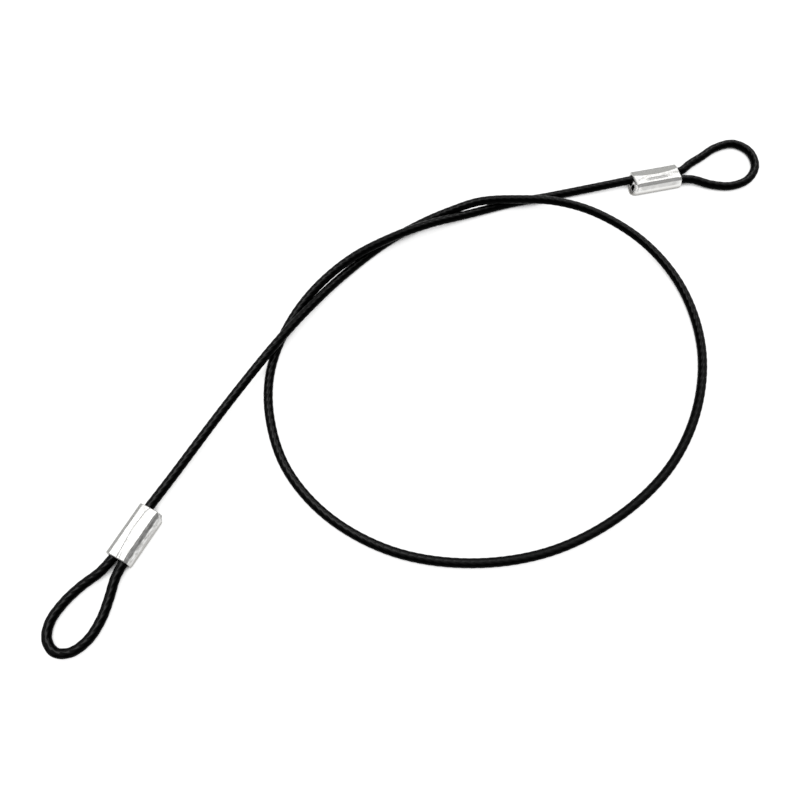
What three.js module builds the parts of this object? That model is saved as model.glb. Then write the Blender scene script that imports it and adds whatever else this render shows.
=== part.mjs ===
// Double-looped security cable, lying as it was dropped: one plastic-coated wire rope with an eye
// at each end, each eye closed by a pressed aluminium ferrule, and the long stretch between them
// thrown into a single open ring that passes over and under itself three times.
//
// Millimetres. +Z up, z = 0 is the table. +X runs along the longest side of the lying cable and
// the origin is the middle of its footprint. Each ferrule's own frame has y along its bores
// towards the long stretch, x across the pair of bores and z up from its underside.
import * as THREE from "three";

// ---- driving dimensions ----------------------------------------------------------------------
const CABLE_D = 5; // over the coating
const ROPE_D = 3.2; // over the wire rope inside it
const ROPE_GAP = 0.15; // between rope and coating, all round
const MEETING_GAP = 0.3; // between the ends of two stretches, half way along a ferrule
const DEAD_END_RECESS = 0.3; // how far the cut end sits inside its ferrule
const ROPE_RECESS = 1.7; // how much further in the rope ends, which springs back when it is sheared

const FERRULE_LENGTH = 30;
const FERRULE_HEIGHT = 8;
const BORE_SPACING = 5.8; // between the two bores of a ferrule
const BORE_HEIGHT = 4; // bore centres above the ferrule's underside
const BORE_GAP = 0.2; // between cable and bore, all round
const MOUTH_FLARE = 0.15; // how much wider a bore is at its mouth
const MOUTH_DEPTH = 3; // over which it widens
const END_ROUND = 0.4; // rounding of the ferrule's end edges
const PRESS_RUNOUT = 4; // over which the press marks fade towards an end, to half their depth

const COATING_SIDES = 12;
const ROPE_SIDES = 8;
const RUN_STEPS = 80;
const EYE_STEPS = 36;

// Where each ferrule lies: the middle of its underside, the way its run end points (degrees from
// +X towards +Y), and the side of that heading, +1 left or -1 right, on which the long stretch
// passes through it. The cut end of the cable sits in the other bore. No two come out of the press
// alike: on the live side the top slopes away from `slopeStart` off the middle, further out by
// `slopeSpread` at the ends, and falls by `slopeDrop` to the rounded edge. `cutBack` is how far the
// other side's corner falls short at the run's end.
const NEAR_FERRULE = {
  middle: [-160.1, -100.7], heading: 61.8, liveSide: 1, width: 14,
  slopeStart: 4.6, slopeSpread: 0, slopeDrop: 1, edgeRadius: 1.5, cutBack: 2.2,
};
const FAR_FERRULE = {
  middle: [132.66, 130.29], heading: 192.5, liveSide: -1, width: 14.2,
  slopeStart: 1.1, slopeSpread: 1.8, slopeDrop: 1.1, edgeRadius: 1.8, cutBack: 0.6,
};

// The cable's centreline outside the ferrules, as x, y, z. From the near ferrule the run climbs
// over the ring's far end, dives under it, climbs over it again, goes once round the ring, and
// then passes under, over and under its own first part on the way to the far ferrule.
const RUN_ROUTE = [
  [-145.5, -69.5, 3.8], [-118.5, -25.5, 5.8], [-94, 11, 8], [-76, 37, 5.8], [-56.5, 61.5, 3],
  [-34.5, 82.5, 2.5], [-12.5, 97.5, 2.7], [5, 105.5, 4.4], [23.5, 110.5, 7.4], [48, 111.5, 8.2],
  [70, 110, 8], [93.5, 102, 7], [120, 82, 5], [138.5, 52, 3.2], [145, 13, 2.5],
  [137.5, -26.5, 2.5], [118.5, -61.5, 2.5], [88, -90, 2.5], [50.5, -109, 2.5], [10.5, -115, 2.5],
  [-28.5, -109, 2.5], [-62, -90.5, 2.5], [-85, -64, 2.5], [-96, -33.5, 2.5], [-97.5, -5, 2.5],
  [-90, 23, 2.7], [-75.5, 47, 5.4], [-53.5, 68.5, 7.8], [-27, 85, 7.8], [-6, 95, 6.4],
  [15.5, 103.5, 3.7], [39.5, 112, 2.5], [65.5, 118, 2.5], [104, 126.5, 3.8],
];

// Each eye, from its ferrule's live bore round to the other bore.
const NEAR_EYE_ROUTE = [
  [-175.5, -119.5, 3.3], [-184.5, -127, 2.6], [-192, -135.5, 2.5], [-197, -145, 2.5],
  [-197, -153.5, 2.5], [-192, -159.5, 2.5], [-184.5, -159.5, 2.5], [-177, -153.5, 2.5],
  [-172, -143.5, 2.5], [-169.5, -133, 2.7], [-167.5, -122.5, 3.4],
];
const FAR_EYE_ROUTE = [
  [150, 137.5, 3.7], [156.5, 143.5, 3.1], [164.5, 149.5, 2.6], [174.5, 157, 2.5],
  [186.5, 160.5, 2.5], [195.5, 154.5, 2.5], [197.5, 142.5, 2.5], [191, 131.5, 2.5],
  [179.5, 126.5, 2.5], [167.5, 127.4, 2.8], [156, 130.8, 3.5],
];

// Distances from the middle of a ferrule at which the cable is held dead straight in a bore.
const HELD_AT = [7, 12];

// ---- materials -------------------------------------------------------------------------------
const coatingMaterial = new THREE.MeshStandardMaterial({ color: 0x0b0b0c, roughness: 0.32, metalness: 0 });
const ropeMaterial = new THREE.MeshStandardMaterial({ color: 0x9a9c9e, roughness: 0.45, metalness: 0.9 });
const ferruleMaterial = new THREE.MeshStandardMaterial({ color: 0xd6d7d4, roughness: 0.38, metalness: 0.9 });

// ---- the cable's centreline ------------------------------------------------------------------

// A centripetal curve that never sinks below the height at which the cable touches the table,
// and whose cross-section stays upright, so that one flat of the coating always faces down.
class CablePath extends THREE.CatmullRomCurve3 {
  constructor(points) {
    super(points);
    this.arcLengthDivisions = 2400;
  }

  getPoint(t, target) {
    const point = super.getPoint(t, target);
    point.z = Math.max(point.z, CABLE_D / 2);
    return point;
  }

  computeFrenetFrames(steps) {
    const up = new THREE.Vector3(0, 0, 1);
    const frames = { tangents: [], normals: [], binormals: [] };
    for (let step = 0; step <= steps; step++) {
      const tangent = this.getTangentAt(step / steps);
      const normal = up.clone().cross(tangent).normalize();
      frames.tangents.push(tangent);
      frames.normals.push(normal);
      frames.binormals.push(tangent.clone().cross(normal));
    }
    return frames;
  }
}

// A point on one of a ferrule's two bores, `along` its heading from the middle.
function borePoint(ferrule, isLive, along) {
  const heading = THREE.MathUtils.degToRad(ferrule.heading);
  const side = (isLive ? ferrule.liveSide : -ferrule.liveSide) * (BORE_SPACING / 2);
  return new THREE.Vector3(
    ferrule.middle[0] + along * Math.cos(heading) - side * Math.sin(heading),
    ferrule.middle[1] + along * Math.sin(heading) + side * Math.cos(heading),
    BORE_HEIGHT,
  );
}

const asVectors = (route) => route.map((point) => new THREE.Vector3(...point));

// The long stretch, from the middle of one ferrule to the middle of the other.
function runPath() {
  const stations = [MEETING_GAP / 2, ...HELD_AT];
  return new CablePath([
    ...stations.map((along) => borePoint(NEAR_FERRULE, true, along)),
    ...asVectors(RUN_ROUTE),
    ...stations.toReversed().map((along) => borePoint(FAR_FERRULE, true, along)),
  ]);
}

// An eye, from the middle of its ferrule out, round, and back through it to the cut end.
function eyePath(ferrule, route) {
  const cutEnd = FERRULE_LENGTH / 2 - DEAD_END_RECESS;
  return new CablePath([
    ...[MEETING_GAP / 2, ...HELD_AT].map((along) => borePoint(ferrule, true, -along)),
    ...asVectors(route),
    ...HELD_AT.toReversed().map((along) => borePoint(ferrule, false, -along)),
    borePoint(ferrule, false, cutEnd),
  ]);
}

// The same path in the same steps, with the last of them, which lies straight in its bore, cut short.
function cutShort(path, recess) {
  const shorter = new CablePath(path.points);
  shorter.getSpacedPoints = (steps) => {
    const points = path.getSpacedPoints(steps);
    const [previous, last] = points.slice(-2);
    last.add(previous.clone().sub(last).setLength(recess));
    return points;
  };
  return shorter;
}

// ---- the cable's cross-sections --------------------------------------------------------------

// A regular polygon measured across its flats, one of which faces down.
function polygon(acrossFlats, sides) {
  const step = (2 * Math.PI) / sides;
  const radius = acrossFlats / 2 / Math.cos(step / 2);
  return Array.from({ length: sides }, (_, corner) => {
    const angle = (corner + 0.5) * step;
    return new THREE.Vector2(radius * Math.cos(angle), radius * Math.sin(angle));
  });
}

function coatingSection() {
  const section = new THREE.Shape(polygon(CABLE_D, COATING_SIDES));
  section.holes.push(new THREE.Path(polygon(ROPE_D + 2 * ROPE_GAP, ROPE_SIDES)));
  return section;
}

const ropeSection = () => new THREE.Shape(polygon(ROPE_D, ROPE_SIDES));

function along(path, section, steps) {
  return new THREE.ExtrudeGeometry(section, { steps, extrudePath: path, bevelEnabled: false });
}

// ---- the pressed ferrule ---------------------------------------------------------------------

// The ferrule's outline at one station, anticlockwise, as corners that are then rounded. The press
// leaves a flat on top that slopes away over the live bore, and on the other side a groove and a
// steep facet. `press` runs from 0, the plain rounded oblong, to 1, fully pressed.
function ferruleCorners({ width, slopeStart, slopeSpread, slopeDrop, edgeRadius }, y, press) {
  const half = width / 2;
  const top = FERRULE_HEIGHT;
  const slopeX = slopeStart + slopeSpread * (y / (FERRULE_LENGTH / 2)) ** 2;
  const pressed = (plain, full) => THREE.MathUtils.lerp(plain, full, press);
  return [
    { x: -half, z: 0, radius: 1.6 },
    { x: half, z: 0, radius: 1.6 },
    { x: half, z: 4.1, radius: 1.6 },
    { x: pressed(half - 0.7, half - 1.3), z: pressed(7, 6.65), radius: 0.7 },
    { x: pressed(half - 1.7, half - 2.4), z: pressed(7.6, 7.3), radius: 0.8 },
    { x: pressed(half - 2.5, half - 3.2), z: top, radius: 0.6 },
    { x: -slopeX, z: top, radius: 2 },
    { x: -half, z: top - slopeDrop, radius: edgeRadius },
  ];
}

// The groove and facet lie over the cut end, so a ferrule whose run passes on the right of its
// heading is the mirror image of one whose run passes on the left.
function handedCorners(ferrule, y, press) {
  const corners = ferruleCorners(ferrule, y, press);
  return ferrule.liveSide > 0 ? corners : corners.map((corner) => ({ ...corner, x: -corner.x })).toReversed();
}

// How far a point of the outside is drawn in along the ferrule, where a corner is cut back.
const CUT_WIDTH = 3;
const CUT_LENGTH = 5;
function cornerCut({ width, liveSide, cutBack }, x, y) {
  const towardsCorner = THREE.MathUtils.smoothstep(x * liveSide, width / 2 - CUT_WIDTH, width / 2);
  const towardsEnd = THREE.MathUtils.smoothstep(y, FERRULE_LENGTH / 2 - CUT_LENGTH, FERRULE_LENGTH / 2);
  return cutBack * towardsCorner * towardsEnd;
}

// Rounds each corner of a closed outline with an arc of ARC_POINTS points, drawn in by `inset`.
const ARC_POINTS = 4;
function roundedOutline(corners, inset) {
  const outline = [];
  corners.forEach((corner, index) => {
    const here = new THREE.Vector2(corner.x, corner.z);
    const before = corners[(index + corners.length - 1) % corners.length];
    const after = corners[(index + 1) % corners.length];
    const back = new THREE.Vector2(before.x, before.z).sub(here).normalize();
    const on = new THREE.Vector2(after.x, after.z).sub(here).normalize();
    const halfAngle = Math.acos(THREE.MathUtils.clamp(back.dot(on), -1, 1)) / 2;
    const isHollow = back.cross(on) > 0;
    const centre = here.clone().add(back.clone().add(on).setLength(corner.radius / Math.sin(halfAngle)));
    const reach = corner.radius / Math.tan(halfAngle);
    const first = here.clone().addScaledVector(back, reach).sub(centre);
    const last = here.clone().addScaledVector(on, reach).sub(centre);
    const turn = Math.atan2(first.cross(last), first.dot(last));
    const radius = corner.radius + (isHollow ? inset : -inset);
    for (let point = 0; point < ARC_POINTS; point++) {
      const angle = first.angle() + (turn * point) / (ARC_POINTS - 1);
      outline.push(new THREE.Vector2(Math.cos(angle), Math.sin(angle)).multiplyScalar(radius).add(centre));
    }
  });
  return outline;
}

// The ferrule's passage at one station: the two bores, joined by the gap that the press leaves
// between them. Each bore follows the flats of the coating.
function passageOutline(flare) {
  const across = CABLE_D + 2 * (BORE_GAP + flare);
  const bore = polygon(across, COATING_SIDES);
  const middle = COATING_SIDES / 2;
  const right = [...bore.slice(middle), ...bore.slice(0, middle)];
  const placed = (points, x) => points.map((point) => new THREE.Vector2(point.x + x, point.y + BORE_HEIGHT));
  return [...placed(right, BORE_SPACING / 2), ...placed(bore, -BORE_SPACING / 2)];
}

// One body from two nested sleeves, each a row of like outlines, closed by a face at both ends.
// `cutAt` says how far a point of the outer sleeve is drawn in.
function sleeveGeometry(outer, inner, cutAt) {
  const positions = [];
  const indices = [];
  const addRings = (rings, cut) => rings.map((ring) => {
    const start = positions.length / 3;
    ring.outline.forEach((point) => positions.push(point.x, ring.y - cut(point.x, ring.y), point.y));
    return { start, count: ring.outline.length };
  });
  const addSkin = (rings, facesOut) => {
    for (let row = 0; row + 1 < rings.length; row++) {
      for (let point = 0; point < rings[row].count; point++) {
        const next = (point + 1) % rings[row].count;
        const [a, b] = [rings[row].start + point, rings[row].start + next];
        const [c, d] = [rings[row + 1].start + next, rings[row + 1].start + point];
        indices.push(...(facesOut ? [a, c, b, a, d, c] : [a, b, c, a, c, d]));
      }
    }
  };
  const addEnd = (at, facesForward) => {
    const rim = outer.at(at).outline;
    const mouth = inner.at(at).outline;
    const corner = (index) => index < rim.length
      ? outerRows.at(at).start + index
      : innerRows.at(at).start + index - rim.length;
    for (const [a, b, c] of THREE.ShapeUtils.triangulateShape(rim, [mouth])) {
      indices.push(...(facesForward ? [a, c, b] : [a, b, c]).map(corner));
    }
  };
  const outerRows = addRings(outer, cutAt);
  const innerRows = addRings(inner, () => 0);
  addSkin(outerRows, true);
  addSkin(innerRows, false);
  addEnd(0, false);
  addEnd(-1, true);
  const geometry = new THREE.BufferGeometry();
  geometry.setAttribute("position", new THREE.Float32BufferAttribute(positions, 3));
  geometry.setIndex(indices);
  geometry.computeVertexNormals();
  return geometry;
}

// The rings' places along the ferrule: closer together where its ends are rounded.
const FERRULE_STATIONS = [0, 3, 6, 9, 11.5, 13.5];
const END_STATIONS = [0, 0.3, 0.6, 0.85, 1];

function ferruleGeometry(ferrule) {
  const half = FERRULE_LENGTH / 2;
  const toEnd = END_STATIONS.map((share) => half - END_ROUND + share * END_ROUND);
  const forward = [...FERRULE_STATIONS, ...toEnd];
  const stations = [...forward.toReversed().map((y) => -y), ...forward.slice(1)];
  const outer = stations.map((y) => {
    const pastRound = Math.max(0, Math.abs(y) - (half - END_ROUND));
    const inset = END_ROUND - Math.sqrt(Math.max(0, END_ROUND ** 2 - pastRound ** 2));
    const press = 1 - THREE.MathUtils.smoothstep(Math.abs(y), half - PRESS_RUNOUT, half) / 2;
    return { y, outline: roundedOutline(handedCorners(ferrule, y, press), inset) };
  });
  const inner = stations.map((y) => {
    const intoMouth = Math.max(0, Math.abs(y) - (half - MOUTH_DEPTH)) / MOUTH_DEPTH;
    return { y, outline: passageOutline(MOUTH_FLARE * intoMouth ** 2) };
  });
  return sleeveGeometry(outer, inner, (x, y) => cornerCut(ferrule, x, y));
}

// ---- the assembly ----------------------------------------------------------------------------
function mesh(name, geometry, material) {
  const part = new THREE.Mesh(geometry, material);
  part.name = name;
  return part;
}

function placedFerrule(name, ferrule) {
  const part = mesh(name, ferruleGeometry(ferrule), ferruleMaterial);
  part.position.set(...ferrule.middle, 0);
  part.rotation.z = THREE.MathUtils.degToRad(ferrule.heading - 90);
  return part;
}

function stretch(name, coatingPath, ropePath, steps) {
  const pair = new THREE.Group();
  pair.add(mesh(`sheath_${name}`, along(coatingPath, coatingSection(), steps), coatingMaterial));
  pair.add(mesh(`wire_rope_${name}`, along(ropePath, ropeSection(), steps), ropeMaterial));
  return pair;
}

// The least room between two passes of the run, where it crosses itself, measured between points
// on the straight steps that its tube is made of.
function leastGapToItself(path, steps) {
  const corners = path.getSpacedPoints(steps);
  const pointsPerStep = 24;
  const nextPass = 5 * pointsPerStep; // nearer points belong to the same pass
  const points = [];
  for (let step = 0; step < steps; step++) {
    for (let part = 0; part < pointsPerStep; part++) {
      points.push(corners[step].clone().lerp(corners[step + 1], part / pointsPerStep));
    }
  }
  let least = Infinity;
  for (let first = 0; first < points.length; first++) {
    for (let second = first + nextPass; second < points.length; second++) {
      least = Math.min(least, points[first].distanceTo(points[second]));
    }
  }
  return least - CABLE_D;
}

const run = runPath();
const nearEye = eyePath(NEAR_FERRULE, NEAR_EYE_ROUTE);
const farEye = eyePath(FAR_FERRULE, FAR_EYE_ROUTE);
const cableLength = [run, nearEye, farEye].reduce((sum, path) => sum + path.getLength(), 0);
console.log(`cable ${cableLength.toFixed(1)} mm, of which the run ${run.getLength().toFixed(1)} mm`);
console.log(`least gap of the run to itself ${leastGapToItself(run, RUN_STEPS).toFixed(2)} mm`);

const securityCable = new THREE.Group();
securityCable.add(placedFerrule("ferrule_near", NEAR_FERRULE));
securityCable.add(placedFerrule("ferrule_far", FAR_FERRULE));
securityCable.add(stretch("run", run, run, RUN_STEPS));
securityCable.add(stretch("eye_near", nearEye, cutShort(nearEye, ROPE_RECESS), EYE_STEPS));
securityCable.add(stretch("eye_far", farEye, cutShort(farEye, ROPE_RECESS), EYE_STEPS));

export default securityCable;
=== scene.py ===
"""The looks of a double-looped security cable lying loose on a white table.

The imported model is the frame. Its faceted coating, rope and ferrules are replaced by fine meshes
on the same centreline and in the same places. Everything is in metres: +Z up, z = 0 the table.
"""

import bpy
import numpy as np
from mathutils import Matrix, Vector, noise


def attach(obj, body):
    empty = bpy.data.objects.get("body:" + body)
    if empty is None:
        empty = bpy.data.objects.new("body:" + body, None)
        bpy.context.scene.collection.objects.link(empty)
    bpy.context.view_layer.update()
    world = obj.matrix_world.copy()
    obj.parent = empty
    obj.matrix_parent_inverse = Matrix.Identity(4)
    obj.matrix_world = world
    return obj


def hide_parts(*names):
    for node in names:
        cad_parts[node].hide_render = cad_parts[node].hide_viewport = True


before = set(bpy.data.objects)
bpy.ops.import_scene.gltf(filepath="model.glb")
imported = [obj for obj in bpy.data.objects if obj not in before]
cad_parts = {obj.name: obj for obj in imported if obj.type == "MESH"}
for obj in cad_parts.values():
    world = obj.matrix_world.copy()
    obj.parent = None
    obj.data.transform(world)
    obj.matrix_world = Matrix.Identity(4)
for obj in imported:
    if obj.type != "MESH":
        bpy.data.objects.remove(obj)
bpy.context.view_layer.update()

MM = 0.001

# ---- driving sizes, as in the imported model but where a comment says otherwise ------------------
CABLE_D = 5 * MM
ROPE_D = 3.2 * MM
STRANDS = 6  # round the middle one
LAY = 26.7 * MM  # one turn of the strands, right-hand
MEETING_GAP = 0.3 * MM
DEAD_END_RECESS = 0.3 * MM
ROPE_RECESS = 1.7 * MM  # how much further in the rope ends

FERRULE_LENGTH = 30 * MM
FERRULE_HEIGHT = 8 * MM
BORE_SPACING = 5.8 * MM
BORE_HEIGHT = 4 * MM
BORE_GAP = 0.2 * MM
HELD_AT = (7 * MM, 12 * MM)  # where a bore holds the cable dead straight

# The middle of each ferrule's underside, its heading in degrees, the side of that heading on
# which the long stretch runs through it, and its width. On that side the top slopes away from
# `slope_start` mm off the middle, further out by `slope_spread` at the ends, and falls by
# `slope_drop` to the rounded edge. `cut_back` is how far the other side's corner falls short at
# the long stretch's end. The near slope_start and the far cut_back are 0.5 and 0.9 mm more than in
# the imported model. Not in it are the rest: `flat_inset` and `groove_inset` place the groove's
# two edges, `ragged` is how far they stray, and the far ferrule's end leans: it falls back by
# `lean_top` at its top and comes forward by `lean_foot` at its foot, and the mouth over the cut
# end is drawn in to `mouth_pinch` of the bore.
NEAR_FERRULE = dict(
    middle=(-0.1601, -0.1007), heading=61.8, live_side=1, width=14 * MM,
    slope_start=5.1, slope_spread=0, slope_drop=1, edge=1.5 * MM, cut_back=2.2 * MM,
    flat_inset=3.2, groove_inset=2.4, ragged=0.3 * MM, lean_top=0, lean_foot=0, mouth_pinch=1,
)
FAR_FERRULE = dict(
    middle=(0.13266, 0.13029), heading=192.5, live_side=-1, width=14.2 * MM,
    slope_start=1.1, slope_spread=1.8, slope_drop=1.1, edge=1.8 * MM, cut_back=1.5 * MM,
    flat_inset=2.6, groove_inset=2, ragged=0.12 * MM, lean_top=1.3 * MM, lean_foot=2 * MM,
    mouth_pinch=0.62,
)

# The cable's centreline outside the ferrules.
RUN_ROUTE = [
    (-0.1455, -0.0695, 0.0038), (-0.1185, -0.0255, 0.0058), (-0.094, 0.011, 0.008),
    (-0.076, 0.037, 0.0058), (-0.0565, 0.0615, 0.003), (-0.0345, 0.0825, 0.0025),
    (-0.0125, 0.0975, 0.0027), (0.005, 0.1055, 0.0044), (0.0235, 0.1105, 0.0074),
    (0.048, 0.1115, 0.0082), (0.07, 0.11, 0.008), (0.0935, 0.102, 0.007),
    (0.12, 0.082, 0.005), (0.1385, 0.052, 0.0032), (0.145, 0.013, 0.0025),
    (0.1375, -0.0265, 0.0025), (0.1185, -0.0615, 0.0025), (0.088, -0.09, 0.0025),
    (0.0505, -0.109, 0.0025), (0.0105, -0.115, 0.0025), (-0.0285, -0.109, 0.0025),
    (-0.062, -0.0905, 0.0025), (-0.085, -0.064, 0.0025), (-0.096, -0.0335, 0.0025),
    (-0.0975, -0.005, 0.0025), (-0.09, 0.023, 0.0027), (-0.0755, 0.047, 0.0054),
    (-0.0535, 0.0685, 0.0078), (-0.027, 0.085, 0.0078), (-0.006, 0.095, 0.0064),
    (0.0155, 0.1035, 0.0037), (0.0395, 0.112, 0.0025), (0.0655, 0.118, 0.0025),
    (0.104, 0.1265, 0.0038),
]
NEAR_EYE_ROUTE = [
    (-0.1755, -0.1195, 0.0033), (-0.1845, -0.127, 0.0026), (-0.192, -0.1355, 0.0025),
    (-0.197, -0.145, 0.0025), (-0.197, -0.1535, 0.0025), (-0.192, -0.1595, 0.0025),
    (-0.1845, -0.1595, 0.0025), (-0.177, -0.1535, 0.0025), (-0.172, -0.1435, 0.0025),
    (-0.1695, -0.133, 0.0027), (-0.1675, -0.1225, 0.0034),
]
FAR_EYE_ROUTE = [
    (0.15, 0.1375, 0.0037), (0.1565, 0.1435, 0.0031), (0.1645, 0.1495, 0.0026),
    (0.1745, 0.157, 0.0025), (0.1865, 0.1605, 0.0025), (0.1955, 0.1545, 0.0025),
    (0.1975, 0.1425, 0.0025), (0.191, 0.1315, 0.0025), (0.1795, 0.1265, 0.0025),
    (0.1675, 0.1274, 0.0028), (0.156, 0.1308, 0.0035),
]


# ---- camera, first, because the cable is measured against its view -----------------------------
CAMERA_HEIGHT = 0.467
CAMERA_PLACE = (-0.025, -0.2595)
CAMERA_ELEVATION = 63  # degrees above the table
LENS = 42.75  # mm, on the 36 mm wide default sensor
HALF_PIXEL = 0.5 / 800  # the frame sits half a pixel up and left of the lens's axis


def add_camera():
    data = bpy.data.cameras.new("camera")
    data.lens = LENS
    data.clip_start = 0.01
    data.shift_x = -HALF_PIXEL
    data.shift_y = HALF_PIXEL
    camera = bpy.data.objects.new("camera", data)
    camera.location = (*CAMERA_PLACE, CAMERA_HEIGHT)
    camera.rotation_euler = (np.radians(90 - CAMERA_ELEVATION), 0, 0)
    bpy.context.collection.objects.link(camera)
    bpy.context.scene.camera = camera


# ---- the cable's centreline --------------------------------------------------------------------
def bore_point(ferrule, is_live, along):
    """A point on one of a ferrule's two bores, that far along its heading from the middle."""
    heading = np.radians(ferrule["heading"])
    side = (1 if is_live else -1) * ferrule["live_side"] * BORE_SPACING / 2
    x, y = ferrule["middle"]
    return (
        x + along * np.cos(heading) - side * np.sin(heading),
        y + along * np.sin(heading) + side * np.cos(heading),
        BORE_HEIGHT,
    )


def centripetal_curve(route, samples_per_span=60):
    """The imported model's curve through a route: centripetal, and never below the table."""
    points = np.array(route, float)
    points = np.vstack([2 * points[0] - points[1], points, 2 * points[-1] - points[-2]])
    t = np.linspace(0, 1, samples_per_span, endpoint=False)[:, None]
    curve = []
    for before, start, end, after in zip(points, points[1:], points[2:], points[3:]):
        spans = ((before, start), (start, end), (end, after))
        k0, k1, k2 = [max(np.linalg.norm(b - a), 1e-9) ** 0.5 for a, b in spans]
        leaving = (start - before) / k0 - (end - before) / (k0 + k1) + (end - start) / k1
        arriving = (end - start) / k1 - (after - start) / (k1 + k2) + (after - end) / k2
        m0, m1 = leaving * k1, arriving * k1
        curve.append(
            (2 * t**3 - 3 * t**2 + 1) * start + (t**3 - 2 * t**2 + t) * m0
            + (3 * t**2 - 2 * t**3) * end + (t**3 - t**2) * m1
        )
    curve = np.vstack([*curve, points[-2][None]])
    curve[:, 2] = np.maximum(curve[:, 2], CABLE_D / 2)
    return curve


LEAN_CLEARANCE = 1.1  # how much further in a cut end lies, as a share of its ferrule's lean_top


def eye_curve(ferrule, route):
    """From the live bore round the eye and back to the cut end, clear of a leaning ferrule's end."""
    stations = (MEETING_GAP / 2, *HELD_AT)
    recess = DEAD_END_RECESS + LEAN_CLEARANCE * ferrule["lean_top"]
    return centripetal_curve([
        *[bore_point(ferrule, True, -along) for along in stations],
        *route,
        *[bore_point(ferrule, False, -along) for along in HELD_AT[::-1]],
        bore_point(ferrule, False, FERRULE_LENGTH / 2 - recess),
    ])


def run_curve():
    stations = (MEETING_GAP / 2, *HELD_AT)
    return centripetal_curve([
        *[bore_point(NEAR_FERRULE, True, along) for along in stations],
        *RUN_ROUTE,
        *[bore_point(FAR_FERRULE, True, along) for along in stations[::-1]],
    ])


def evenly_spaced(curve, step):
    """The curve's points at even distances, and those distances."""
    places = np.concatenate([[0], np.cumsum(np.linalg.norm(np.diff(curve, axis=0), axis=1))])
    count = int(round(places[-1] / step)) + 1
    even = np.linspace(0, places[-1], count)
    return np.column_stack([np.interp(even, places, curve[:, axis]) for axis in range(3)]), even


def upright_frames(points):
    """Tangent, sideways (left) and upward directions at each point."""
    tangents = np.gradient(points, axis=0)
    tangents /= np.linalg.norm(tangents, axis=1)[:, None]
    left = np.cross((0, 0, 1), tangents)
    left /= np.linalg.norm(left, axis=1)[:, None]
    return tangents, left, np.cross(tangents, left)


# ---- meshes ------------------------------------------------------------------------------------
def add_mesh(name, vertices, faces, material, replaced):
    mesh = bpy.data.meshes.new(name)
    mesh.from_pydata([tuple(v) for v in vertices], [], faces)
    mesh.validate()
    mesh.materials.append(material)
    mesh.polygons.foreach_set("use_smooth", [True] * len(mesh.polygons))
    piece = bpy.data.objects.new(name, mesh)
    bpy.context.collection.objects.link(piece)
    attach(piece, "root")
    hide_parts(*replaced)
    return piece


def skin(rows, around, first=0, closed_rows=False):
    """Quads between like rings of vertices, each ring `around` long, one ring after another."""
    faces = []
    for row in range(rows if closed_rows else rows - 1):
        here, there = first + row * around, first + (row + 1) % rows * around
        for point in range(around):
            beside = (point + 1) % around
            faces.append((here + point, here + beside, there + beside, there + point))
    return faces


def tube_rings(points, left, up, radii, angles):
    """Rings of vertices round a centreline: radii and angles are per ring and point."""
    return (
        points[:, None]
        + left[:, None] * (radii * np.cos(angles))[..., None]
        + up[:, None] * (radii * np.sin(angles))[..., None]
    )


# ---- the coating -------------------------------------------------------------------------------
RING_STEP = 0.9 * MM
COATING_POINTS = 42  # round the coating, seven to a strand
LOBE_DEPTH = 0.1 * MM  # how far the coating rises over each strand
COATING_WALL = 0.65 * MM
BORE_STRIDE = 3  # the hidden bore has a third of the rings
UNEVEN_BY = 0.12  # how much the lobes' depth varies, as a share
UNEVEN_LENGTHS = (7.3 * MM, 19.7 * MM)  # over which it varies along the cable


def coating_radii(angles_from_strand, places):
    """The coating's radius, swelling over each strand, with a slow unevenness along the cable."""
    valleys = 0.5 * (1 - np.cos(STRANDS * angles_from_strand))
    short, long = UNEVEN_LENGTHS
    uneven = 1 + UNEVEN_BY * np.sin(places / short) * np.sin(places / long)
    return CABLE_D / 2 + LOBE_DEPTH * (1 - valleys) * uneven[:, None]


def add_coating(points, places, material):
    _, left, up = upright_frames(points)
    twist = 2 * np.pi * places / LAY
    round_once = 2 * np.pi * np.arange(COATING_POINTS) / COATING_POINTS
    angles = twist[:, None] + round_once[None]
    radii = coating_radii(np.broadcast_to(round_once, angles.shape), places)
    outer = tube_rings(points, left, up, radii, angles)
    kept = np.unique(np.append(np.arange(0, len(points), BORE_STRIDE), len(points) - 1))
    bore_radii = np.full((len(kept), COATING_POINTS), CABLE_D / 2 - COATING_WALL)
    inner = tube_rings(points[kept], left[kept], up[kept], bore_radii, angles[kept])
    rings = np.vstack([outer, inner[::-1]])
    faces = skin(len(rings), COATING_POINTS, closed_rows=True)
    return add_mesh(
        "vinyl_coating", rings.reshape(-1, 3), faces, material,
        ["sheath_run", "sheath_eye_near", "sheath_eye_far"],
    )


# ---- the wire rope -----------------------------------------------------------------------------
STRAND_D = ROPE_D / 3
WIRE_D = STRAND_D / 3
OUTER_WIRES = 6  # round a strand's middle one
WIRE_LAY = 8 * MM  # one turn of a strand's wires, against the strands' own
FRAYED = 4 * MM  # length at each cut end over which the single wires are modelled
ROPE_STEP = 2.7 * MM
STRAND_POINTS = 8
WIRE_POINTS = 6


def closed_tube(rings):
    """Vertices and faces of a tube whose two ends are capped."""
    rows, around = rings.shape[:2]
    faces = skin(rows, around)
    faces += [tuple(range(around))[::-1], tuple(range((rows - 1) * around, rows * around))]
    return rings.reshape(-1, 3), faces


def helix(points, left, up, twist, radius, phase):
    angle = twist + phase
    return points + left * (radius * np.cos(angle))[:, None] + up * (radius * np.sin(angle))[:, None]


def strand_lines(points, left, up, twist):
    """The centrelines of the middle strand and of those laid round it."""
    yield points
    for strand in range(STRANDS):
        yield helix(points, left, up, twist, STRAND_D, 2 * np.pi * strand / STRANDS)


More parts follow.
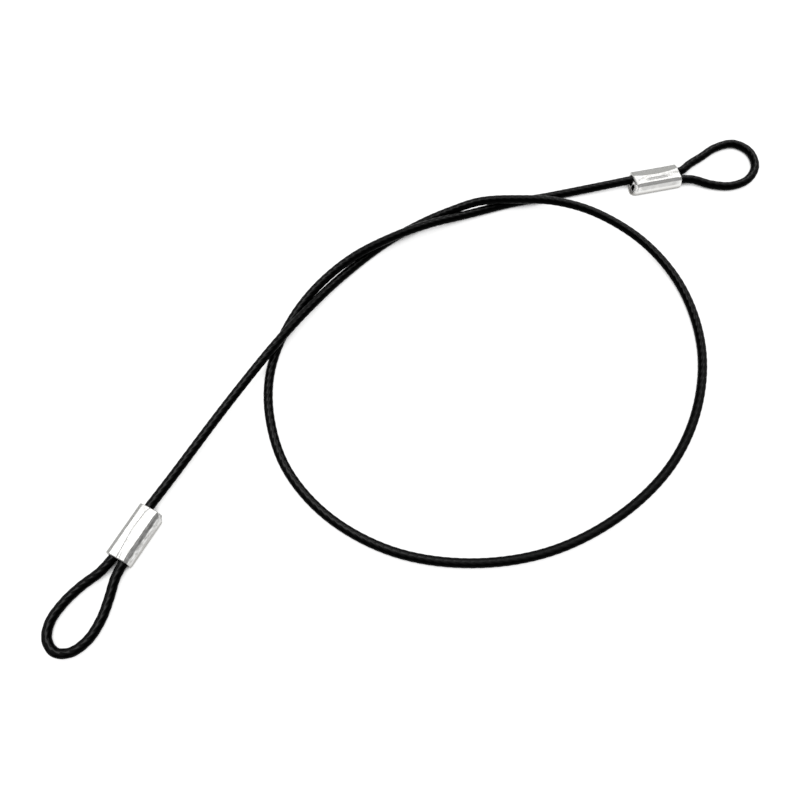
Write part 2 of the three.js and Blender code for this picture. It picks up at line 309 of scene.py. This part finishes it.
def add_rope(points, places, material):
    vertices, faces = [], []
    kept = (places >= ROPE_RECESS) & (places <= places[-1] - ROPE_RECESS)
    points, places = points[kept], places[kept] - ROPE_RECESS

    def collect(rings):
        start = sum(len(v) for v in vertices)
        new_vertices, new_faces = closed_tube(rings)
        vertices.append(new_vertices)
        faces.extend(tuple(index + start for index in face) for face in new_faces)

    def circle(line, left, up, diameter, around):
        angles = np.broadcast_to(2 * np.pi * np.arange(around) / around, (len(line), around))
        return tube_rings(line, left, up, np.full(angles.shape, diameter / 2), angles)

    stride = int(round(ROPE_STEP / RING_STEP))
    inside = (places > FRAYED / 2) & (places < places[-1] - FRAYED / 2)
    body = np.flatnonzero(inside)[::stride]
    _, left, up = upright_frames(points)
    twist = 2 * np.pi * places / LAY
    for line in strand_lines(points[body], left[body], up[body], twist[body]):
        collect(circle(line, left[body], up[body], STRAND_D, STRAND_POINTS))
    wire_twist = -2 * np.pi * places / WIRE_LAY
    for end in (places <= FRAYED, places >= places[-1] - FRAYED):
        for line in strand_lines(points[end], left[end], up[end], twist[end]):
            collect(circle(line, left[end], up[end], WIRE_D, WIRE_POINTS))
            for wire in range(OUTER_WIRES):
                phase = 2 * np.pi * wire / OUTER_WIRES
                outer_wire = helix(line, left[end], up[end], wire_twist[end], WIRE_D, phase)
                collect(circle(outer_wire, left[end], up[end], WIRE_D, WIRE_POINTS))
    return add_mesh(
        "laid_wire_rope", np.vstack(vertices), faces, material,
        ["wire_rope_run", "wire_rope_eye_near", "wire_rope_eye_far"],
    )


# ---- the pressed ferrules ----------------------------------------------------------------------
ROUND_POINTS = 360  # points in each outline
ALONG_STEP = 0.2 * MM
END_ROUND = 0.4 * MM
END_SHARES = (0.25, 0.5, 0.72, 0.88, 0.97, 1)  # where outlines lie across that rounding
PASSAGE_STRIDE = 4  # the passage has a quarter of the outlines
MOUTH_FLARE = 0.15 * MM
MOUTH_DEPTH = 3 * MM
PRESS_RUNOUT = 4 * MM
COATING_SIDES = 12


def smoothstep(value, low, high):
    t = np.clip((value - low) / (high - low), 0, 1)
    return t * t * (3 - 2 * t)


WALL_HEIGHT = 4.1 * MM  # where the facet starts
# In mm, each without and with the press: the facet's upper corner off the side and up, the
# groove's height, and how much nearer the side the groove's edges lie without it.
FACET_INSET = (0.7, 1.3)
FACET_HEIGHT = (7, 6.65)
GROOVE_HEIGHT = (7.6, 7.3)
DRAWN_IN = 0.7
# The roundings of the outline's corners.
WALL_ROUND = 1.6 * MM
FACET_ROUND = 1.2 * MM
GROOVE_ROUND = 1.4 * MM
FLAT_ROUND = 1.1 * MM
SLOPE_ROUND = 2 * MM

# How an edge of the groove or facet strays along the ferrule: how far as a share of the ferrule's own
# `ragged`, over what length, and which row of the noise it takes.
FLAT_RAGGED = dict(share=1, length=2.2 * MM, row=100, layer=0)
FACET_RAGGED = dict(share=1.3, length=2.8 * MM, row=70, layer=5)


def straying(ferrule, y, edge):
    """How far across such an edge lies off its straight line at one station."""
    half_width = ferrule["width"] / 2 / MM
    place = Vector((y / edge["length"], edge["row"] * half_width, edge["layer"]))
    return edge["share"] * ferrule["ragged"] * noise.noise(place)


def slope_start_at(ferrule, y):
    """How far off the middle the slope over the live bore starts."""
    to_end = y / (FERRULE_LENGTH / 2)
    return (ferrule["slope_start"] + ferrule["slope_spread"] * to_end**2) * MM


def ferrule_corners(ferrule, press, y):
    """The ferrule's outline at one station: (x, z, rounding), anticlockwise.

    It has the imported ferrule's corners, some of them moved a little and rounded more softly.
    """
    half, top = ferrule["width"] / 2, FERRULE_HEIGHT
    slope_x = slope_start_at(ferrule, y)
    ragged_flat = straying(ferrule, y, FLAT_RAGGED)
    ragged_facet = straying(ferrule, y, FACET_RAGGED)
    flat_end, groove = ferrule["flat_inset"], ferrule["groove_inset"]

    def pressed(plain, full):
        return (plain + (full - plain) * press) * MM

    corners = [
        (-half, 0, WALL_ROUND),
        (half, 0, WALL_ROUND),
        (half, WALL_HEIGHT, WALL_ROUND),
        (half - pressed(*FACET_INSET) + ragged_facet, pressed(*FACET_HEIGHT), FACET_ROUND),
        (half - pressed(groove - DRAWN_IN, groove), pressed(*GROOVE_HEIGHT), GROOVE_ROUND),
        (half - pressed(flat_end - DRAWN_IN, flat_end) + ragged_flat, top, FLAT_ROUND),
        (-slope_x, top, SLOPE_ROUND),
        (-half, top - ferrule["slope_drop"] * MM, ferrule["edge"]),
    ]
    if ferrule["live_side"] > 0:
        return corners
    return [(-x, z, rounding) for x, z, rounding in corners][::-1]


def rounded_outline(corners, inset, arc_points=9):
    """The outline through rounded corners, drawn in by `inset`."""
    outline = []
    for index, (x, z, radius) in enumerate(corners):
        here = np.array([x, z])
        back = np.array(corners[index - 1][:2]) - here
        on = np.array(corners[(index + 1) % len(corners)][:2]) - here
        back, on = back / np.linalg.norm(back), on / np.linalg.norm(on)
        half_angle = np.arccos(np.clip(back @ on, -1, 1)) / 2
        is_hollow = back[0] * on[1] - back[1] * on[0] > 0
        bisector = (back + on) / np.linalg.norm(back + on)
        centre = here + bisector * radius / np.sin(half_angle)
        reach = radius / np.tan(half_angle)
        first, last = here + back * reach - centre, here + on * reach - centre
        start = np.arctan2(first[1], first[0])
        turn = np.arctan2(first[0] * last[1] - first[1] * last[0], first @ last)
        angles = start + turn * np.linspace(0, 1, arc_points)
        arc_radius = radius + (inset if is_hollow else -inset)
        outline.append(centre + arc_radius * np.column_stack([np.cos(angles), np.sin(angles)]))
    return np.vstack(outline)


def evenly_round(outline, count):
    """A closed outline as `count` even points, starting at the middle of its underside."""
    closed = np.vstack([outline, outline[:1]])
    places = np.concatenate([[0], np.cumsum(np.linalg.norm(np.diff(closed, axis=0), axis=1))])
    below = np.flatnonzero((closed[:-1, 0] <= 0) & (closed[1:, 0] > 0) & (closed[:-1, 1] < BORE_HEIGHT))[0]
    share = -closed[below, 0] / (closed[below + 1, 0] - closed[below, 0])
    start = places[below] + share * (places[below + 1] - places[below])
    at = (start + places[-1] * np.arange(count) / count) % places[-1]
    return np.column_stack([np.interp(at, places, closed[:, axis]) for axis in range(2)])


def passage_outline(flare):
    """The two bores, joined by the gap that the press leaves between them."""
    step = 2 * np.pi / COATING_SIDES
    radius = (CABLE_D / 2 + BORE_GAP + flare) / np.cos(step / 2)
    angles = (np.arange(COATING_SIDES) + 0.5) * step
    bore = radius * np.column_stack([np.cos(angles), np.sin(angles)])
    right = np.roll(bore, -COATING_SIDES // 2, axis=0)
    return np.vstack([right + (BORE_SPACING / 2, BORE_HEIGHT), bore + (-BORE_SPACING / 2, BORE_HEIGHT)])


PINCH_STARTS = 13.5 * MM
PINCH_ENDS = 14.1 * MM


def pinched(ferrule, outline, y):
    """A passage's outline with the bore of the cut end drawn in near the ferrule's end."""
    share = 1 - (1 - ferrule["mouth_pinch"]) * smoothstep(y, PINCH_STARTS, PINCH_ENDS)
    centre = np.array([ferrule["live_side"] * BORE_SPACING / 2, BORE_HEIGHT])
    is_dead = outline[:, 0] * ferrule["live_side"] > 0
    return np.where(is_dead[:, None], centre + share * (outline - centre), outline)


def line_depth(x, y, route, width, depth):
    """How deep a pressed line lies at (x, y): the route is (x, y, strength) points in mm."""
    route = np.array(route, float)
    centre = np.interp(y / MM, route[:, 1], route[:, 0]) * MM
    strength = np.interp(y / MM, route[:, 1], route[:, 2], left=0, right=0)
    return depth * strength * np.exp(-(((x - centre) / width) ** 2))


CUT_WIDTH = 3 * MM
CUT_LENGTH = 5 * MM


def corner_cut(ferrule, x, y):
    """How far a point of the outside is drawn in along the ferrule, where a corner is cut back."""
    half_width, half_length = ferrule["width"] / 2, FERRULE_LENGTH / 2
    towards_corner = smoothstep(x * ferrule["live_side"], half_width - CUT_WIDTH, half_width)
    return ferrule["cut_back"] * towards_corner * smoothstep(y, half_length - CUT_LENGTH, half_length)


LEAN_LENGTH = 7 * MM
LIVE_SIDE_LEAN = 0.3  # how much of the lean the live side has


def end_lean(ferrule, x, y, z):
    """How far a point moves along the ferrule, where its end was sheared at a slant."""
    half_width, half_length = ferrule["width"] / 2, FERRULE_LENGTH / 2
    at_foot = 1 - z / FERRULE_HEIGHT
    to_cut_end = smoothstep(x * ferrule["live_side"], -half_width, half_width / 2)
    share = LIVE_SIDE_LEAN + (1 - LIVE_SIDE_LEAN) * to_cut_end
    reach = (ferrule["lean_top"] + ferrule["lean_foot"]) * at_foot * share - ferrule["lean_top"]
    return reach * smoothstep(y, half_length - LEAN_LENGTH, half_length)


# Lines that the press left on each ferrule's top: a route of (x across, y along, strength), then
# the line's width and depth, all in mm.
NEAR_LINES = [
    ([(-0.5, -14.6, 1), (-1.1, -9.5, 1), (-1.85, -3.3, 0.5), (-2.3, 2.6, 0.7), (-1.7, 12.5, 0.9),
      (-0.8, 14.6, 0.9)], 0.45, 0.11),
    ([(0.9, -14.5, 0.8), (0.2, -11, 0.5), (0, -6, 0)], 0.45, 0.09),
]
FAR_LINES = [
    ([(-1.7, -14, 0.1), (-1.7, -8, 0.5), (-1.7, -5, 1), (-1.7, 3, 1), (-1.9, 6, 0.6),
      (-2.3, 9, 0)], 0.62, 0.26),
    ([(0.9, 0, 0.2), (0.5, 4, 0.5), (-0.3, 8.5, 0.8), (-1.4, 12.5, 0.9)], 0.42, 0.09),
    ([(0.05, -14.6, 1), (0.1, -10, 0.7), (0.1, -4, 0.5), (0.5, 0, 0)], 0.45, 0.12),
]


# Dents all over a ferrule: a shift of the noise's seed, their size and their depth.
DENTS = [(0, 2.6 * MM, 0.03 * MM), (7, 0.9 * MM, 0.003 * MM)]
DENTS_HEIGHTS = (0.3 * MM, 1.2 * MM)  # over which they set in, so that the underside stays flat
LINES_HEIGHTS = (FERRULE_HEIGHT - 0.8 * MM, FERRULE_HEIGHT - 0.2 * MM)  # the same for the lines


def hammered(vertices, seed, size, strength):
    """Smooth unevenness of a pressed surface, in metres."""
    offset = Vector((seed, 2 * seed, 3 * seed))
    return strength * np.array([noise.noise(Vector(v) / size + offset) for v in vertices])


SCUFF_EDGE = (-0.2 * MM, 0.3 * MM)  # off the slope's start, over which the scuffing sets in
SCUFF_HEIGHTS = (5 * MM, 6.2 * MM)  # over which it sets in up the wall


def sanded_share(ferrule, local):
    """How matt the metal is: fully on the slope over the live bore, which the die scuffed."""
    x, y, z = local.T
    slope_x = slope_start_at(ferrule, y)
    inner, outer = SCUFF_EDGE
    over_live_bore = smoothstep(-x * ferrule["live_side"], slope_x + inner, slope_x + outer)
    return over_live_bore * smoothstep(z, *SCUFF_HEIGHTS)


def add_ferrule(name, ferrule, lines, seed, material, replaced):
    half = FERRULE_LENGTH / 2
    flat_end = half - END_ROUND
    straight = np.linspace(-flat_end, flat_end, int(round(FERRULE_LENGTH / ALONG_STEP)))
    rounding = END_ROUND * np.array(END_SHARES)
    stations = np.concatenate([-flat_end - rounding[::-1], straight, flat_end + rounding])
    outer = []
    for y in stations:
        past = max(0, abs(y) - flat_end)
        inset = END_ROUND - np.sqrt(max(0, END_ROUND**2 - past**2))
        press = 1 - smoothstep(abs(y), half - PRESS_RUNOUT, half) / 2
        outline = evenly_round(rounded_outline(ferrule_corners(ferrule, press, y), inset), ROUND_POINTS)
        outer.append(np.column_stack([outline[:, 0], np.full(ROUND_POINTS, y), outline[:, 1]]))
    outer = np.array(outer)
    inner = []
    for y in stations[::-PASSAGE_STRIDE]:
        into = max(0, abs(y) - (half - MOUTH_DEPTH)) / MOUTH_DEPTH
        outline = pinched(ferrule, evenly_round(passage_outline(MOUTH_FLARE * into**2), ROUND_POINTS), y)
        inner.append(np.column_stack([outline[:, 0], np.full(ROUND_POINTS, y), outline[:, 1]]))
    inner = np.array(inner)
    inner[-1, :, 1] = -half
    outer[..., 1] -= corner_cut(ferrule, outer[..., 0], outer[..., 1])
    outward = np.cross(np.gradient(outer, axis=0), np.roll(outer, -1, 1) - np.roll(outer, 1, 1))
    outward /= np.maximum(np.linalg.norm(outward, axis=2, keepdims=True), 1e-12)
    x, y, z = (outer[..., axis] for axis in range(3))
    on_top = smoothstep(z, *LINES_HEIGHTS)
    sunk = sum(line_depth(x, y, route, width * MM, depth * MM) for route, width, depth in lines) * on_top
    above = smoothstep(z, *DENTS_HEIGHTS)
    places = outer.reshape(-1, 3)
    dents = sum(hammered(places, seed + shift, size, depth) for shift, size, depth in DENTS)
    rim = 1 - smoothstep(np.abs(y), half - 2 * END_ROUND, half)
    move = dents.reshape(x.shape) * above * rim - np.abs(sunk)
    outer = outer + outward * move[..., None]
    rings = np.vstack([outer, inner])
    rings[..., 1] += end_lean(ferrule, rings[..., 0], rings[..., 1], rings[..., 2])
    faces = [face[::-1] for face in skin(len(rings), ROUND_POINTS, closed_rows=True)]
    turn = np.radians(ferrule["heading"] - 90)
    rotation = np.array([[np.cos(turn), -np.sin(turn), 0], [np.sin(turn), np.cos(turn), 0], [0, 0, 1]])
    local = rings.reshape(-1, 3)
    placed = local @ rotation.T + (*ferrule["middle"], 0)
    piece = add_mesh(name, placed, faces, material, [replaced])
    along = piece.data.attributes.new("along", "FLOAT_VECTOR", "POINT")
    along.data.foreach_set("vector", local.ravel())
    sanded = piece.data.attributes.new("sanded", "FLOAT", "POINT")
    sanded.data.foreach_set("value", sanded_share(ferrule, local).ravel())
    return piece


# ---- materials ---------------------------------------------------------------------------------
def new_material(name):
    material = bpy.data.materials.new(name)
    material.use_nodes = True
    return material, material.node_tree.nodes, material.node_tree.links


def noise_node(nodes, links, vector, scale, detail=3.0, roughness=0.5):
    node = nodes.new("ShaderNodeTexNoise")
    node.inputs["Scale"].default_value = scale
    node.inputs["Detail"].default_value = detail
    node.inputs["Roughness"].default_value = roughness
    links.new(vector, node.inputs["Vector"])
    return node.outputs["Fac"]


def ramp(nodes, links, value, low, high, out_low, out_high):
    node = nodes.new("ShaderNodeMapRange")
    for socket, number in zip(("From Min", "From Max", "To Min", "To Max"), (low, high, out_low, out_high)):
        node.inputs[socket].default_value = number
    links.new(value, node.inputs["Value"])
    return node.outputs["Result"]


def mixed_colour(nodes, links, factor, first, second):
    node = nodes.new("ShaderNodeMix")
    node.data_type = "RGBA"
    links.new(factor, node.inputs["Factor"])
    for socket, colour in (("A", first), ("B", second)):
        target = next(s for s in node.inputs if s.name == socket and s.type == "RGBA")
        if isinstance(colour, tuple):
            target.default_value = (*colour, 1)
        else:
            links.new(colour, target)
    return next(s for s in node.outputs if s.type == "RGBA")


def add_bump(nodes, links, heights, target):
    """Chains bumps of (height socket, distance in metres) into a shader's normal."""
    normal = None
    for height, distance in heights:
        bump = nodes.new("ShaderNodeBump")
        bump.inputs["Distance"].default_value = distance
        links.new(height, bump.inputs["Height"])
        if normal:
            links.new(normal, bump.inputs["Normal"])
        normal = bump.outputs["Normal"]
    links.new(normal, target)


def coating_material():
    """Black vinyl with its gloss painted by which way the surface faces: a painted highlight along the
    upward crown, and painted shade that keeps the flanks matt and deep black.
    """
    material, nodes, links = new_material("black_vinyl")
    shader = nodes["Principled BSDF"]
    place = nodes.new("ShaderNodeTexCoord").outputs["Object"]
    haze = noise_node(nodes, links, place, 120, detail=4)
    grain = noise_node(nodes, links, place, 2600, detail=2)
    upward = nodes.new("ShaderNodeSeparateXYZ")
    links.new(nodes.new("ShaderNodeNewGeometry").outputs["Normal"], upward.inputs["Vector"])
    black = mixed_colour(nodes, links, ramp(nodes, links, haze, 0.35, 0.75, 0, 1),
                         (0.0004, 0.0005, 0.0005), (0.0012, 0.0013, 0.0013))
    links.new(black, shader.inputs["Base Color"])
    links.new(ramp(nodes, links, haze, 0.3, 0.7, 0.14, 0.24), shader.inputs["Roughness"])
    shader.inputs["Specular IOR Level"].default_value = 0.2
    # Painted highlight and shade: the specular level follows the surface's upward facing, high on the crown
    # and nearly none down the flanks.
    crown_highlight_painted = ramp(nodes, links, upward.outputs["Z"], 0.8, 0.97, 0.02, 0.3)
    links.new(crown_highlight_painted, shader.inputs["Specular IOR Level"])
    add_bump(nodes, links, [(grain, 0.004 * MM)], shader.inputs["Normal"])
    return material


def rope_material():
    material, nodes, links = new_material("galvanised_wire")
    shader = nodes["Principled BSDF"]
    shader.inputs["Metallic"].default_value = 1
    place = nodes.new("ShaderNodeTexCoord").outputs["Object"]
    dull = noise_node(nodes, links, place, 900, detail=3)
    zinc = mixed_colour(nodes, links, dull, (0.30, 0.30, 0.31), (0.58, 0.58, 0.6))
    links.new(zinc, shader.inputs["Base Color"])
    links.new(ramp(nodes, links, dull, 0.3, 0.7, 0.35, 0.6), shader.inputs["Roughness"])
    return material


def scaled_place(nodes, links, place, scale):
    node = nodes.new("ShaderNodeMapping")
    node.inputs["Scale"].default_value = scale
    links.new(place, node.inputs["Vector"])
    return node.outputs["Vector"]


def warm_grey(level):
    return (level, 0.99 * level, 0.96 * level)


def ferrule_material(name, facet_streak, top_streak, shade_painted_below):
    """Pressed aluminium: rub marks along it, scuffed matt on the slope, painted shade low on its walls.

    The streaks' greys on the facet and on the press flat, and the height below which shade is painted
    on the walls, set one ferrule off from the other.
    """
    material, nodes, links = new_material(name)
    shader = nodes["Principled BSDF"]
    shader.inputs["Metallic"].default_value = 1
    attribute = nodes.new("ShaderNodeAttribute")
    attribute.attribute_name = "along"
    place = attribute.outputs["Vector"]
    sanded = nodes.new("ShaderNodeAttribute")
    sanded.attribute_name = "sanded"
    sanded = sanded.outputs["Fac"]
    separate = nodes.new("ShaderNodeSeparateXYZ")
    links.new(place, separate.inputs["Vector"])
    rubbed = scaled_place(nodes, links, place, (1, 0.12, 1))
    streaked = scaled_place(nodes, links, place, (1, 0.3, 1))
    clouds = noise_node(nodes, links, place, 260, detail=4)
    streaks = noise_node(nodes, links, streaked, 750, detail=5, roughness=0.65)
    scratches = noise_node(nodes, links, rubbed, 2400, detail=3, roughness=0.6)
    grain = noise_node(nodes, links, place, 5200, detail=2)
    sand = noise_node(nodes, links, place, 2600, detail=4, roughness=0.7)
    height = separate.outputs["Z"]
    dark_streak = mixed_colour(nodes, links, ramp(nodes, links, height, 7.2 * MM, 7.9 * MM, 0, 1),
                               warm_grey(facet_streak), warm_grey(top_streak))
    metal = mixed_colour(nodes, links, ramp(nodes, links, streaks, 0.38, 0.62, 0, 1),
                         dark_streak, (0.84, 0.84, 0.83))
    scuffed = mixed_colour(nodes, links, ramp(nodes, links, sand, 0.35, 0.65, 0, 1),
                           (0.58, 0.58, 0.56), (0.8, 0.8, 0.78))
    upper = mixed_colour(nodes, links, sanded, metal, scuffed)
    # Painted shade: the base colour darkens towards the foot of the walls, below shade_painted_below.
    low = ramp(nodes, links, height, 0.35 * shade_painted_below, shade_painted_below, 1, 0)
    links.new(mixed_colour(nodes, links, low, upper, (0.36, 0.35, 0.33)), shader.inputs["Base Color"])
    polish = ramp(nodes, links, clouds, 0.3, 0.7, 0.24, 0.38)
    dulled = nodes.new("ShaderNodeMath")
    dulled.operation = "MULTIPLY_ADD"
    links.new(sanded, dulled.inputs[0])
    dulled.inputs[1].default_value = 0.25
    links.new(polish, dulled.inputs[2])
    links.new(dulled.outputs[0], shader.inputs["Roughness"])
    add_bump(nodes, links, [(scratches, 0.003 * MM), (grain, 0.002 * MM)], shader.inputs["Normal"])
    return material


# ---- the studio --------------------------------------------------------------------------------
FLOOR_SIZE = 6
FLOOR_DROP = 0.02 * MM  # keeps the table's face off the ferrules' undersides
FLOOR_COLOUR = 0.45
FLOOR_GLOW = 0.9  # added for the eye's rays, so that the lit table is plain white
# Painted shade: the floor's glow fades with ambient occlusion, so crevices and the table close beside the
# cable darken.
CREVICE_REACH = 8 * MM  # the glow dies where the table is shut in on both sides within this


def seen_ray(nodes, links):
    """1 for the rays that show the background: camera, glossy and transmission rays."""
    rays = nodes.new("ShaderNodeLightPath")
    total = rays.outputs["Is Camera Ray"]
    for other in ("Is Glossy Ray", "Is Transmission Ray"):
        node = nodes.new("ShaderNodeMath")
        node.operation = "MAXIMUM"
        links.new(total, node.inputs[0])
        links.new(rays.outputs[other], node.inputs[1])
        total = node.outputs[0]
    return total


def add_floor():
    half = FLOOR_SIZE / 2
    mesh = bpy.data.meshes.new("table")
    corners = [(-half, -half, 0), (half, -half, 0), (half, half, 0), (-half, half, 0)]
    mesh.from_pydata(corners, [], [(0, 1, 2, 3)])
    table = bpy.data.objects.new("table", mesh)
    table.location.z = -FLOOR_DROP
    bpy.context.collection.objects.link(table)
    material, nodes, links = new_material("white_table")
    nodes.remove(nodes["Principled BSDF"])
    diffuse = nodes.new("ShaderNodeBsdfDiffuse")
    diffuse.inputs["Color"].default_value = (FLOOR_COLOUR, FLOOR_COLOUR, FLOOR_COLOUR, 1)
    glow = nodes.new("ShaderNodeEmission")
    openness = nodes.new("ShaderNodeAmbientOcclusion")
    openness.samples = 8
    openness.inputs["Distance"].default_value = CREVICE_REACH
    scaled = nodes.new("ShaderNodeMath")
    scaled.operation = "MULTIPLY"
    # The glow scaled by openness paints shade into crevices and narrow gaps.
    links.new(ramp(nodes, links, openness.outputs["AO"], 0.2, 0.42, 0, FLOOR_GLOW), scaled.inputs[1])
    links.new(seen_ray(nodes, links), scaled.inputs[0])
    links.new(scaled.outputs[0], glow.inputs["Strength"])
    both = nodes.new("ShaderNodeAddShader")
    links.new(diffuse.outputs[0], both.inputs[0])
    links.new(glow.outputs[0], both.inputs[1])
    links.new(both.outputs[0], nodes["Material Output"].inputs["Surface"])
    mesh.materials.append(material)


def add_area_light(name, place, target, size, power):
    data = bpy.data.lights.new(name, "AREA")
    data.shape = "RECTANGLE"
    data.size, data.size_y = size
    data.energy = power
    light = bpy.data.objects.new(name, data)
    light.location = place
    direction = Vector(target) - Vector(place)
    light.rotation_euler = direction.to_track_quat("-Z", "Y").to_euler()
    bpy.context.collection.objects.link(light)


SOFTBOX_TOWARDS = (0.08, 0.31, 0.947)
SOFTBOX_EDGES = (0.86, 0.97)  # cosines from its middle between which it fades in
SOFTBOX_STRENGTH = 0.35
ROOM_STRENGTH = 0.27
HORIZON_STRENGTH = 0.35  # the room's pale walls, added from `WALL_TOP` down to the horizon
WALL_TOP = 0.7


def add_world():
    """A soft light above and behind the object, in a dim room with paler walls."""
    world = bpy.data.worlds.new("studio")
    bpy.context.scene.world = world
    world.use_nodes = True
    nodes, links = world.node_tree.nodes, world.node_tree.links
    direction = nodes.new("ShaderNodeTexCoord").outputs["Generated"]
    closeness = nodes.new("ShaderNodeVectorMath")
    closeness.operation = "DOT_PRODUCT"
    closeness.inputs[1].default_value = Vector(SOFTBOX_TOWARDS).normalized()
    links.new(direction, closeness.inputs[0])
    fade = nodes.new("ShaderNodeMapRange")
    fade.interpolation_type = "SMOOTHSTEP"
    fade.inputs["From Min"].default_value, fade.inputs["From Max"].default_value = SOFTBOX_EDGES
    fade.inputs["To Min"].default_value = ROOM_STRENGTH
    fade.inputs["To Max"].default_value = ROOM_STRENGTH + SOFTBOX_STRENGTH
    links.new(closeness.outputs["Value"], fade.inputs["Value"])
    height = nodes.new("ShaderNodeSeparateXYZ")
    links.new(direction, height.inputs["Vector"])
    total = nodes.new("ShaderNodeMath")
    links.new(fade.outputs["Result"], total.inputs[0])
    links.new(ramp(nodes, links, height.outputs["Z"], 0, WALL_TOP, HORIZON_STRENGTH, 0), total.inputs[1])
    background = nodes["Background"]
    background.inputs["Color"].default_value = (1, 1, 1, 1)
    links.new(total.outputs[0], background.inputs["Strength"])


def light_the_studio():
    add_area_light("left_softbox", (-0.3, 0.2, 1), (-0.05, 0, 0), (0.6, 0.6), 1.7)
    add_area_light("back_softbox", (0.48, 0.98, 1), (0.05, 0.05, 0), (0.5, 0.5), 1.1)
    add_world()


# ---- the scene ---------------------------------------------------------------------------------
add_camera()

near_eye = eye_curve(NEAR_FERRULE, NEAR_EYE_ROUTE)
far_eye = eye_curve(FAR_FERRULE, FAR_EYE_ROUTE)
centreline = np.vstack([near_eye[::-1], run_curve(), far_eye])
cable_points, cable_places = evenly_spaced(centreline, RING_STEP)

near_metal = ferrule_material("rubbed_aluminium", 0.4, 0.74, 5 * MM)
far_metal = ferrule_material("bright_aluminium", 0.82, 0.82, 3.4 * MM)
near_ferrule = add_ferrule("near_pressed_ferrule", NEAR_FERRULE, NEAR_LINES, 3, near_metal, "ferrule_near")
far_ferrule = add_ferrule("far_pressed_ferrule", FAR_FERRULE, FAR_LINES, 11, far_metal, "ferrule_far")
add_rope(cable_points, cable_places, rope_material())
coating = add_coating(cable_points, cable_places, coating_material())

add_floor()
light_the_studio()
bpy.context.scene.view_settings.view_transform = "Standard"
